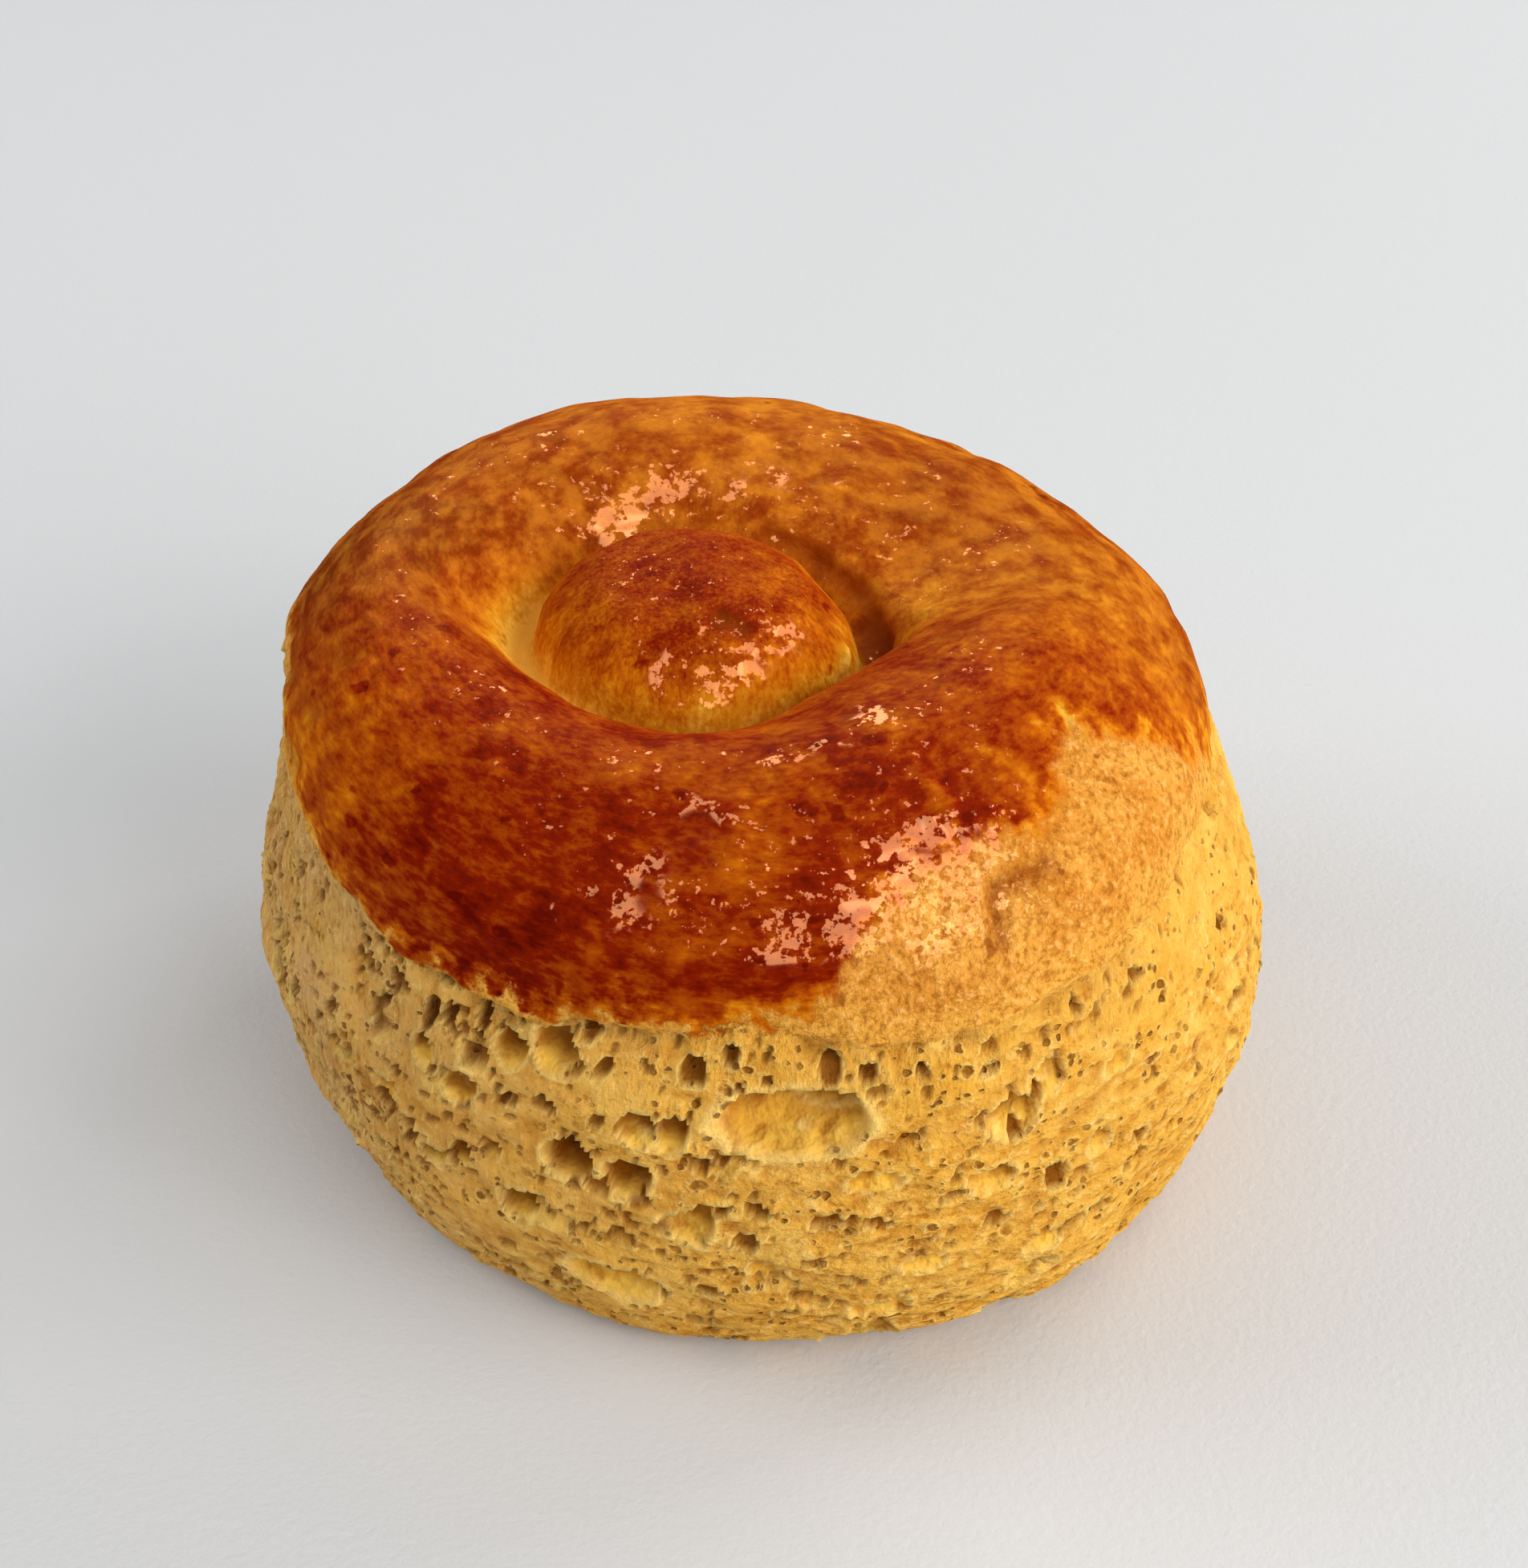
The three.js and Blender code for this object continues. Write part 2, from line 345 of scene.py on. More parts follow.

# %% [markdown]
# ## The bubbles of the crumb
# Gas swelled thousands of bubbles in the dough, and where the side tore they lie open. A bubble cut by
# the surface is a bowl, steep at its rim, and where two bowls meet a thin web stays
# between them. Cell noise does this: the side is laid out flat and divided into cells, and a cell
# may hold one bubble. Three sizes are added up, because large bubbles have small ones
# in their walls. The few largest are placed one by one.


# %% How open the crumb is
def openness(at, up):
    """Share of cells with a bubble, by heading in degrees and height in mm: most on the left and front,
    fewest on the right, where the crumb is closed and soft."""
    turns = np.interp(at, [-180, -150, -120, -95, -70, -45, -10, 40, 90, 140],
                      [0.75, 0.9, 1, 0.75, 0.5, 0.3, 0.22, 0.5, 0.75, 0.7], period=360)
    return turns * np.interp(up, [0, 4, 10, 18, 22, 27], [0.7, 0.8, 0.9, 0.85, 0.9, 0.8])


def stretch(up):
    """Bubbles are flattened low on the side and drawn upwards under the crust."""
    return np.interp(up, [0, 8, 16, 22, 28], [1.9, 1.7, 1.4, 0.95, 0.7])


def bowl(x, y, deep, dark_from):
    """Depth, rim, shade and light of an open bubble, where x and y are the distances from its middle as
    shares of its radii and d is their length. Its depth is deep x (0.75 + y / 2) x sqrt(1 - d^2), so it is
    most under its upper edge. The rim stands at d = 1.08. The shade starts at the level dark_from and
    grows upwards, and the light lies on its floor."""
    d = np.hypot(x, y)
    level = np.clip(y, -1.2, 1.2)
    inside = smooth_step(d, 1.04, 0.82)
    depth = deep * (0.75 + 0.5 * level) * np.sqrt(np.maximum(0, 1 - d**2))
    rim = np.exp(-(((d - 1.08) / 0.12) ** 2))
    return np.stack([depth, rim, inside * smooth_step(level, dark_from, dark_from + 0.6),
                     inside * smooth_step(-level, 0.1, 0.8)])


FOAM_HEIGHT = 45  # mm up the side before the cells repeat, more than the side has


def foam(around, up, cell, share, sizes, plump, dark_from, seed):
    """Bowls in a layer of cells. Each cell may hold an ellipse at a random place, of random size and
    slant, plump x radius deep. Where bowls meet, the larger value counts."""
    girth = 2 * np.pi * BODY_RADIUS
    columns, levels = round(girth / cell), int(FOAM_HEIGHT / cell)
    width = girth / columns
    draw = np.random.default_rng(seed).random((6, columns, levels))
    bowls = np.zeros((4, len(up)))
    for across, level in itertools.product((-1, 0, 1), repeat=2):
        column = np.floor(around / width).astype(int) + across
        row = np.floor(up / cell).astype(int) + level
        place_x, place_y, size, lean, chance, narrow = draw[:, column % columns, row % levels]
        middle_x = (column + 0.5 + 0.7 * (place_x - 0.5)) * width
        middle_y = (row + 0.5 + 0.7 * (place_y - 0.5)) * cell
        there = chance < share * openness(np.degrees(middle_x / BODY_RADIUS), middle_y)
        radius = cell * (sizes[0] + (sizes[1] - sizes[0]) * size**2)
        aspect = np.sqrt(stretch(middle_y) * (0.8 + 0.6 * narrow))
        angle = 0.9 * (lean - 0.5)
        x, y = around - middle_x, up - middle_y
        x, y = x * np.cos(angle) + y * np.sin(angle), y * np.cos(angle) - x * np.sin(angle)
        made = bowl(x / aspect / radius, y * aspect / radius, plump * radius, dark_from)
        bowls = np.maximum(bowls, there * made)
    return bowls


# %% Bubbles placed one by one
# Heading in degrees, then height, width, length up the side and depth in mm. The last number of a
# large one says how much painted shade darkens its roof, up to 1.
LARGE_BUBBLES = [
    (-87, 21.6, 9.0, 4.6, 2.6, 0.5), (-83.9, 22.7, 4.2, 2.2, 2.6, 0.75),
    (-109.8, 17.0, 3.9, 3.2, 2.9, 1.0), (-103, 16.7, 3.3, 2.8, 2.5, 0.9),
    (-102, 20.4, 2.0, 2.5, 1.9, 0.8), (-98.7, 20.4, 2.2, 2.5, 1.8, 0.8),
    (-65, 20.2, 3.4, 2.8, 1.8, 0.7), (-61.5, 22.2, 2.6, 2.4, 1.1, 0.5), (-97, 14.0, 3.3, 2.8, 1.7, 0.6),
    (-106, 7.6, 6.6, 3.2, 1.6, 0.6), (-116.3, 12.0, 2.7, 2.5, 2.2, 0.9),
    (-111.6, 24.2, 3.0, 3.0, 1.7, 0.8), (-117, 23.4, 2.6, 2.4, 1.5, 0.85),
    (-127.3, 12.8, 2.2, 1.9, 1.6, 0.9), (-123.2, 14.1, 1.9, 1.6, 1.5, 0.9),
    (-119.2, 15.8, 1.8, 1.4, 1.3, 0.8), (-67.2, 16.4, 3.2, 1.7, 1.3, 0.6),
    (-60.4, 9.2, 2.4, 1.7, 1.0, 0.5), (-78, 6.0, 3.6, 2.0, 1.1, 0.4), (-54, 15.6, 2.3, 1.4, 0.9, 0.5),
    (-128, 21.0, 1.8, 2.2, 1.2, 0.8), (-90, 10.4, 2.2, 1.6, 0.9, 0.5), (-74, 10.2, 3.0, 1.5, 0.9, 0.5),
    (-122.8, 19.4, 2.2, 1.6, 1.1, 0.8), (-133, 16.6, 1.6, 1.9, 1.0, 0.8),
    (-52, 20.8, 2.6, 1.8, 0.6, 0.4), (-79, 17.6, 3.2, 1.2, 0.6, 0.4), (-136, 10.5, 2.0, 1.4, 1.1, 0.8),
]
SMALL_BUBBLES = [
    (-93.4, 18.9, 0.9, 1.3, 1.6), (-95.6, 18.6, 1.2, 1.1, 1.4), (-133.4, 22.8, 1.0, 1.3, 1.5),
    (-136.6, 24.6, 1.3, 1.7, 1.1), (-124.3, 24.0, 1.2, 1.7, 1.5), (-127.6, 23.2, 1.1, 1.4, 1.3),
    (-93, 25.6, 1.1, 1.4, 1.3), (-97.2, 24.3, 1.7, 1.8, 1.1), (-79.8, 24.8, 1.1, 1.3, 1.3),
    (-83.5, 25.3, 1.4, 1.9, 0.8), (-67.8, 23.7, 1.1, 0.9, 1.6), (-74.5, 24.9, 0.9, 1.0, 1.2),
    (-107.6, 25.9, 1.3, 1.8, 1.5), (-100.6, 7.2, 0.8, 1.1, 2.0), (-83.8, 14.7, 1.7, 1.2, 1.3),
    (-81.6, 14.6, 0.8, 0.9, 1.1), (-78.6, 14.7, 1.8, 1.2, 0.9), (-90.5, 15.8, 1.5, 1.1, 1.2),
    (-95.9, 15.3, 1.1, 1.0, 1.2), (-94, 15.5, 1.1, 1.1, 1.2), (-91.5, 13.0, 1.6, 1.5, 1.0),
    (-49.3, 25.8, 0.9, 1.0, 0.8), (-48.5, 14.6, 1.5, 1.2, 1.1), (-59.3, 14.5, 1.5, 2.0, 1.1),
    (-66.4, 12.6, 1.9, 1.0, 1.1), (-62.4, 21.2, 0.9, 0.9, 1.6), (-64.6, 19.0, 0.8, 0.9, 1.4),
    (-86, 23.2, 2.6, 0.9, 1.6), (-84.2, 23.5, 1.9, 1.2, 1.5), (-81.9, 23.0, 1.2, 1.0, 1.5),
    (-153, 16.3, 1.3, 1.9, 1.3), (-120.6, 24.8, 1.0, 1.5, 1.3), (-115.4, 25.4, 0.8, 1.2, 1.1),
    (-101, 15.6, 1.0, 0.8, 1.2), (-112.5, 20.6, 1.6, 1.0, 1.0), (-117.8, 20.0, 1.2, 1.0, 1.2),
    (-87.5, 6.4, 2.0, 1.2, 0.9), (-96, 8.4, 1.9, 1.1, 0.8),
]


def placed(at, up, across, tall, deep, dark_from):
    """One bowl at a place on the side."""
    x = ((warped_degrees - at + 180) % 360 - 180) * np.pi / 180 * BODY_RADIUS
    return bowl(2 * x / across, 2 * (warped_height - up) / tall, deep, dark_from)


# %% Depth of the bubbles
WARP = 0.36  # mm by which outlines are bent
warp_x, warp_y = soft_noise(form, 1.7, 21, 2), soft_noise(form, 1.7, 22, 2)
warped_degrees = degrees + np.degrees(WARP * warp_x / BODY_RADIUS)
warped_height = height + WARP * warp_y
around = np.radians(degrees % 360) * BODY_RADIUS
large = np.zeros((4, len(form)))
# A large bubble's roof is darkened with painted shade and its floor lightened with painted light.
for at, up, across, tall, deep, dark in LARGE_BUBBLES:  # the darker or deeper, the lower its shade starts
    made = placed(at, up, across, tall, deep, 0.55 - 0.8 * deep / tall - 0.9 * dark)
    large = np.maximum(large, made * np.array([1, 1, dark, 1])[:, None])
by_hand = np.max([placed(*shape, -1.4) for shape in SMALL_BUBBLES], axis=0)
cavity = smooth_step(large[2] + large[3] + large[0], 0.1, 0.5)
free = 1 - cavity
layers = []
# Size of a cell in mm, share of cells with a bubble, its radii in cells, its depth in radii, the level at
# which its shade starts, and the seed.
for cell, share, sizes, plump, dark_from, seed in [
    (4.4, 0.34, (0.18, 0.42), 0.8, -0.3, 31),
    (2.1, 0.40, (0.16, 0.42), 1.3, -0.9, 32),
    (1.1, 0.36, (0.2, 0.46), 1.6, -1.4, 33),
]:
    drift = 0.24 * cell
    moved = around + drift * warp_x, height + drift * warp_y
    layers.append(foam(*moved, cell, share, sizes, plump, dark_from, seed))
medium, small, tiny = layers
medium = medium * free * (1 - smooth_step(by_hand[0], 0, 0.3))
small = small * (0.25 + 0.75 * free)
tiny = tiny * (0.3 + 0.7 * free)
depth = np.maximum(large[0], by_hand[0]) + medium[0] + 0.9 * small[0] + 0.8 * tiny[0]
webs = np.clip(large[1] + by_hand[1] + 0.8 * medium[1] + 0.6 * small[1] + 0.3 * tiny[1], 0, 1)
webs = webs * (1 - np.maximum(small[2], by_hand[2]))
# Painted shade under the bubbles' roofs and painted light on their floors, for the finish.
shade = np.max([large[2], 0.9 * by_hand[2], 0.8 * medium[2], 0.85 * small[2], 0.7 * tiny[2]], axis=0)
lit = np.maximum(large[3], medium[3]) * (1 - shade)
print("deepest bubble", round(float((depth * (1 - crust)).max()), 1), "mm")

# %% Texture of the crumb between bubbles
layered = soft_noise(form * [0.3, 0.3, 1], 2.6, 23, 3)  # long folds that run round the side
fibres = soft_noise(form * [0.5, 0.5, 1.6], 0.9, 24, 2)
drawn_up = soft_noise(form * [1.6, 1.6, 0.4], 0.9, 25, 2)
to_left = np.exp(-(((degrees % 360 - 205) / 38) ** 2))
strands = 0.35 * smooth_step(height, 19, 25) + to_left * smooth_step(height, 4, 12)
strands = np.clip(strands * (1 + 0.8 * soft_noise(form, 5, 29)), 0, 1) * free
texture = (1 - strands) * fibres + strands * drawn_up
calm = 1 - 0.75 * cavity  # the walls of the largest bubbles are smooth
lumps = 0.45 * soft_noise(form, 8, 26, 2) + 0.24 * layered + 0.2 * texture * calm + 0.16 * webs
# The low parts of the folds and grain, painted darker in the finish as shade.
low_spots = np.clip(-0.5 * layered - 0.9 * texture, 0, 1) * calm
grains = foam(around, height + 30, 1.5, 0.16, (0.14, 0.26), 1.0, 0, 34)[0]  # loose crumbs that stick out
print("crumb between bubbles, mm:", round(float(lumps.min()), 1), "to", round(float(lumps.max()), 1))

# %% [markdown]
# ## The unevenness of the crust
# The skin dried over soft dough, so it has low, broad waves and small blisters. It stands a little proud
# of the torn crumb. A few marks are large enough to list one by one: creases beside the button,
# short wrinkles in the golden part, loose flakes, and a small pit in the button.

# %% Marks in the crust
# Start, end, width, height (below zero is a crease) in mm, and how much paler the crust is there;
# below zero it is darker, which in the pits and wrinkles is painted shade.
MARKS = [
    ((0.1, 10.1, 36.6), (3.3, 8, 35.6), 0.7, -0.6, 0),  # crease behind the button
    ((3.3, 8, 35.6), (6.8, 4.6, 34.5), 0.8, -0.8, 0),
    ((7.1, 2.8, 33.5), (7.4, 0.6, 33.3), 1.0, -1.2, -0.5),  # dark pit on its right
    ((-1.6, -6.7, 38.7), (-3.0, -5.9, 39.0), 0.6, -0.4, -0.4),  # pit in the button
    ((-0.8, -2.0, 39.8), (0.6, -1.8, 39.5), 0.6, 0.25, 0),
    ((5.1, -4.6, 34.9), (5.0, -4.2, 35.4), 0.5, 0.7, 0.5),  # loose flake in the groove
    ((8.7, -23.0, 38.1), (10.3, -24.6, 37.2), 0.5, 0.35, 0.25),  # flake on the crest
    ((17.2, -15.2, 38.7), (18.6, -17.6, 37.5), 0.35, -0.15, 0.4),  # pale cracks
    ((12.2, -20.3, 38.5), (15.0, -21.5, 37.6), 0.3, -0.1, 0.3),
    ((16.0, -25.7, 34.2), (13.1, -27.7, 33.9), 0.5, -0.4, -0.15),  # wrinkles in the golden part
    ((12.8, -28.1, 33.7), (13.1, -29.4, 31.5), 0.45, -0.35, -0.15),
    ((-30.5, -6, 35), (-27.0, -13.2, 36.2), 0.8, -0.45, 0.1),  # folds in the left shoulder
    ((-30.0, -3, 36), (-25.8, -10.6, 38.4), 0.7, -0.3, 0.1),
    ((-31.2, -9, 33.2), (-28.6, -15.0, 34.0), 0.6, -0.3, 0.1),
]
ragged_marks = soft_noise(form, 0.8, 41, 2)


def near_line(start, end, width):
    """exp(-(distance / width)^2), with the distance to the line from start to end, made ragged."""
    start, line = np.array(start), np.array(end) - np.array(start)
    t = np.clip((form - start) @ line / (line @ line), 0, 1)
    away = np.linalg.norm(form - start - t[:, None] * line, axis=1)
    return np.exp(-((away / width + 0.25 * ragged_marks) ** 2))


mark_height = sum(tall * near_line(start, end, width) for start, end, width, tall, _ in MARKS)
paler = sum(pale * near_line(start, end, 1.2 * width) for start, end, width, _, pale in MARKS)
# Creases and pits are painted darker in the finish, as shade.
crease = np.clip(-3 * mark_height, 0, 1)
print(len(MARKS), "marks")

# %% Relief of the crust
# A noise's last three numbers are its grain in mm, its seed and its octaves.
waves = 0.34 * soft_noise(form, 7, 42, 2)
blisters = 0.14 * soft_noise(form, 2.8, 43, 2)
wrinkles = soft_noise(form * [1.6, 1.6, 0.5], 1.6, 44, 2)  # they run up the left shoulder
left_shoulder = np.exp(-(((degrees % 360 - 195) / 28) ** 2)) * smooth_step(height, 29, 34) * (rise < 8)
relief = waves + blisters + 0.16 * wrinkles * left_shoulder + mark_height
lip = 0.28 * smooth_step(above_edge, -0.1, 0.5) * (1 - smooth_step(above_edge, 1.5, 8))
lip *= 1 - 0.8 * to_left
under_skin = np.exp(-(((above_edge + 0.6) / 0.45) ** 2)) * (1 - to_left)
# The undercut is pushed into the crumb and is also painted dark as shade under the crust's edge.
undercut = 0.8 * under_skin * smooth_step(soft_noise(form, 3, 45, 2), -0.2, 0.4)
print("crust relief, mm:", round(float(relief.min()), 1), "to", round(float(relief.max()), 1))

# %% [markdown]
# ## Pushing the relief into the form
# Everything is now added up in one direction, out or in. Real bubbles in risen dough
# hang under a lip, so a bowl is also slanted: each point moves up the side by a fixed share of its
# depth. Such a slant can't make the surface cross itself, because every point of the
# same depth moves by the same amount.

# %% The finished surface
SLANT = 0.4  # mm up the side for each mm of depth
LOWEST = 0.02  # mm that the side keeps above the tray
in_crumb = 1 - crust
push = in_crumb * (lumps + 0.9 * grains - depth - undercut) + crust * (relief + lip)
push = push * side_only
shift = SLANT * in_crumb * depth * side_only * smooth_step(height, 0, 1.5)
surface = form + push[:, None] * out + shift[:, None] * upward
surface[:, 2] = np.where(rise <= 0, form[:, 2], np.maximum(surface[:, 2], LOWEST))
under = np.clip(-rise, 0, 1)  # the underside, from 0 at its edge to 1 in the middle
hollow_base = 0.25 * smooth_step(under, 0.02, 0.2) * np.maximum(0, 1 + soft_noise(form, 2.5, 46, 3))
surface[:, 2] += np.where(rise < 0, hollow_base, 0)

span_low, span_high = form.min(0), form.max(0)
target_low, target_high = np.array(low) / MM, np.array(high) / MM
fit = (target_high - target_low) / (span_high - span_low)
surface = (surface - span_low) * fit + target_low
print("fitted to the packed size by", np.round(fit, 4))

# %% The mesh
mesh = bpy.data.meshes.new("scone_surface")
mesh.vertices.add(len(surface))
mesh.vertices.foreach_set("co", (surface * MM).ravel())
mesh.loops.add(faces.size)
mesh.loops.foreach_set("vertex_index", faces.ravel())
mesh.polygons.add(len(faces))
mesh.polygons.foreach_set("loop_start", np.arange(len(faces)) * 3)
mesh.update(calc_edges=True)
mesh.polygons.foreach_set("use_smooth", np.ones(len(faces), bool))
print("mesh is sound:", not mesh.validate())
scone = bpy.data.objects.new("scone_baked", mesh)
bpy.context.scene.collection.objects.link(scone)

# %% [markdown]
# ## What each part of the surface is
# The finish has to know where the crust is, how brown it is and how deep a bubble goes, and where shade
# and light are painted on. These are stored on the vertices as named attributes, worked out from the
# same lines and bowls as the relief, so that colour and shape agree.

# %% How brown the crust is
# Middle and width in mm, and how much browner (or paler, below zero) it is there.
BROWNING = [
    ((-14, -26, 31), 11, 0.17), ((-7, -28, 33), 6, 0.12), ((1, -30, 31), 5, 0.10),
    ((-5, -30.8, 30.5), 3, -0.06), ((5, -26, 37), 3, -0.08), ((-16, -22, 35), 9, 0.03),
    ((-1, -26, 36.5), 5, -0.07), ((1, -23, 38), 7, 0.02), ((14, -17, 39), 3, 0.06),
    ((8, -13, 38.5), 6, 0.10), ((-27, -13, 36), 4, -0.12), ((-31, 0, 34), 8, 0.18),
    ((-22, 3, 40), 7, 0.14), ((-26, -2, 39.5), 7, 0.06), ((-18, 4, 37.5), 6, 0.06),
    ((-18, 13, 40), 7, 0.08), ((-12, 22, 38), 8, -0.04), ((0, 20, 40), 13, -0.02),
    ((14, 15, 38), 8, 0.06), ((13, 3, 36.6), 5, -0.14), ((10, -6, 37.5), 4, 0.12),
    ((25, 5, 35), 8, -0.08), ((17, -3, 38), 6, -0.05), ((25, -5, 35), 4, -0.08),
    ((-5, -2, 40), 7.5, 0.16), ((-29, 8, 36), 9, 0.08), ((9, -25, 37), 4.5, 0.20),
    ((3, -24.5, 37.5), 4, 0.12), ((16, -21, 37.5), 4, 0.04), ((-13, -13, 38), 6, 0.07),
    ((-24, -9, 38), 6, 0.08), ((4, -28, 34), 3, 0.10), ((-15, -28, 29), 4, 0.06),
    ((-24, 4, 40), 6, 0.15), ((-17, -9, 38.5), 5, 0.08), ((-20, -17, 37.5), 5, 0.08),
    ((13, -9, 38.5), 4, -0.08), ((13, 11, 37.5), 5, 0.16), ((-13, 14, 39.5), 6, 0.12),
    ((-8, -2, 38), 3.5, -0.05), ((-11.6, -5.2, 37), 3, -0.12), ((-6.5, -24, 37.2), 4.5, -0.05),
    ((-15.5, 4, 35), 3.5, -0.12), ((-26, -5.5, 39.4), 5, -0.06), ((-21.2, -16.5, 38.1), 4, -0.11),
    ((8.6, -25.2, 37.1), 3.5, 0.08), ((12.5, -21.7, 38.1), 2.5, -0.10), ((-17, -23, 35.7), 4, 0.08),
    ((-16, -25.7, 33.9), 2.5, -0.12), ((-1, -23, 38), 8, 0.03), ((5, -31.3, 31.6), 2.5, 0.12),
    ((-1, 16, 39.5), 5, 0.06), ((-13, 9, 36.5), 3, -0.06), ((17.7, -5.1, 39.2), 5, 0.06),
    ((10.5, 0, 35), 3, -0.22),
]
brown = 0.6 + 0.05 * soft_noise(form, 8, 51, 3) - paler
for middle, width, amount in BROWNING:
    brown += amount * np.exp(-((form - np.array(middle)) ** 2).sum(1) / width**2)
open_left = np.exp(-(((degrees % 360 - 185) / 45) ** 2))  # the groove is widest open on the left
in_groove = np.exp(-(((rise - 12.2 + 1.1 * open_left) / (0.9 + 0.5 * open_left)) ** 2))
brown -= (0.44 + 0.36 * open_left) * in_groove
print("browning:", round(float(brown[crust > 0.5].mean()), 2), "on average")

# %% Where the glaze is wettest
# Start, end and width in mm of the places where the glaze pooled and dried like varnish.
SHINY = [
    ((-8.4, -29, 32.7), (-3.4, -26.2, 36.5), 1.7), ((0.3, -31.4, 31.4), (1.2, -30.3, 33.0), 1.2),
    ((6.8, -27.0, 36.3), (9.8, -26.1, 36.4), 1.1), ((9, -27.4, 35.6), (11.3, -26.7, 35.6), 1.3),
    ((0.2, -21.4, 38.2), (4.0, -20.9, 38.6), 0.6), ((-4.2, -25.5, 36.8), (-3.8, -24.3, 37.3), 0.7),
    ((-12.1, 9.3, 36.8), (-9.9, 11.5, 37.5), 1.0), ((-9.9, 11.5, 37.5), (-6.0, 13.6, 38.4), 1.6),
    ((-2.1, 12.8, 38), (-1.8, 13.6, 38.4), 1.0), ((1.2, 12.8, 38.3), (1.0, 14.6, 38.8), 0.8),
    ((3.4, 13.6, 38.5), (4.6, 14.0, 38.8), 0.7), ((-2.7, -9.2, 36.4), (3.6, -3.2, 37.5), 1.9),
    ((-6.9, -8.9, 36.2), (-6.6, -8.1, 37.2), 0.8), ((4.6, -17.4, 38.8), (6.2, -17.9, 38.8), 0.9),
    ((6.3, -29.8, 33.8), (11.3, -27.4, 35.2), 1.5), ((5.6, -30.2, 33), (11.3, -28, 33.8), 2.6),
    ((7.4, -30.8, 31.8), (7.4, -29.5, 33.8), 1.0), ((7.5, -30.2, 32.5), (12, -27.5, 34.3), 2.2),
]
shiny = sum(near_line(start, end, width) for start, end, width in SHINY)
round_the_back = smooth_step(form[:, 1], 12, 20) * (1 - smooth_step(height, 35.5, 37.5))
shiny = np.clip(shiny + 0.8 * round_the_back * smooth_step(soft_noise(form, 6, 52, 2), 0, 0.6), 0, 1)
print("shiny share of the crust", round(float(shiny[crust > 0.5].mean()), 2))

# %% Store the attributes
for name, values in {
    "crust_side": np.clip(above_edge, -8, 8),
    "glaze_side": np.clip(in_glaze, -8, 8),
    "glaze_fade": round_the_scone(GLAZE_FADE),
    "shiny": shiny,
    "brown": brown,
    # partly painted sheen on the back half of the crust
    "back_sheen": smooth_step(form[:, 1], -13, 2) * (rise < 12.3) * (1 - in_groove),
    # painted shade under the bubbles' roofs and in the gap under the crust's torn edge
    "shade": np.maximum(shade, 0.55 * undercut) * in_crumb,
    # painted light on the bubbles' floors
    "lit": lit * in_crumb,
    # painted shade in the crumb's low spots
    "low_spots": low_spots * in_crumb,
    "strands": strands,
    # painted light on the webs between bubbles
    "web": webs * in_crumb,
    "cavity": cavity * in_crumb,
    # painted shade in the crust's creases and pits
    "crease": crease * crust,
    "underside": under,
    "left_turn": to_left,
}.items():
    attribute = mesh.attributes.new(name, "FLOAT", "POINT")
    attribute.data.foreach_set("value", values.astype(np.float32))
    print(f"{name}: {values.min():.2f} to {values.max():.2f}")

# %% A place for streaks
STREAK_RADIUS = 14.0  # less than the ring's own radius, so a streak is longer round the ring than across
BUTTON_FADE = 8.0  # mm from the button's middle, within which the places draw together to a point
from_middle = np.hypot(form[:, 0] - BUTTON_CENTRE[0], form[:, 1] - BUTTON_CENTRE[1])
slow_radius = STREAK_RADIUS * np.minimum(1, from_middle / BUTTON_FADE)
ring_place = np.stack([slow_radius * np.cos(heading), slow_radius * np.sin(heading), length_up], 1)
attribute = mesh.attributes.new("ring_place", "FLOAT_VECTOR", "POINT")
attribute.data.foreach_set("vector", ring_place.astype(np.float32).ravel())
print("ring_place reaches", round(float(np.abs(ring_place).max()), 1), "mm")

# %% [markdown]
# ## Building the finish
# A finish is a network of shader nodes. Short helpers keep it readable: one adds a node
# and fills or links its sockets, and the others wrap the few nodes that are used most. They all add
# to the network that is called tree at that moment.


# %% Helpers for shader nodes
def add(kind, sockets=None, **settings):
    """Adds a node. A socket given as a node socket is linked, and as a value is set."""
    made = tree.nodes.new(kind)
    for name, value in settings.items():
        setattr(made, name, value)
    for name, value in (sockets or {}).items():
        if isinstance(value, bpy.types.NodeSocket):
            tree.links.new(value, made.inputs[name])
        else:
            made.inputs[name].default_value = value
    return made


def calc(operation, a, b=0.0):
    """One step of arithmetic."""
    return add("ShaderNodeMath", {0: a, 1: b}, operation=operation).outputs[0]


def plus(a, b):
    """a + b"""
    return calc("ADD", a, b)


def minus(a, b):
    """a - b"""
    return calc("SUBTRACT", a, b)


def times(a, b):
    """a x b"""
    return calc("MULTIPLY", a, b)


def mix(share, a, b):
    """The number a where the share is 0, b where it is 1."""
    return add("ShaderNodeMix", {0: share, 2: a, 3: b}).outputs[0]


def blend(share, a, b):
    """The colour a where the share is 0, b where it is 1."""
    return add("ShaderNodeMix", {0: share, 6: a, 7: b}, data_type="RGBA").outputs[2]


def between(value, start, stop, low_value=0.0, high_value=1.0):
    """Moves a value from one range to another, smoothly and no further than its ends."""
    sockets = {
        "Value": value, "From Min": start, "From Max": stop, "To Min": low_value, "To Max": high_value}
    return add("ShaderNodeMapRange", sockets, interpolation_type="SMOOTHSTEP").outputs[0]


def stored(name):
    """A value stored on the mesh."""
    return add("ShaderNodeAttribute", attribute_name=name).outputs["Fac"]


def colour(red, green, blue):
    """An opaque colour."""
    return (red, green, blue, 1.0)


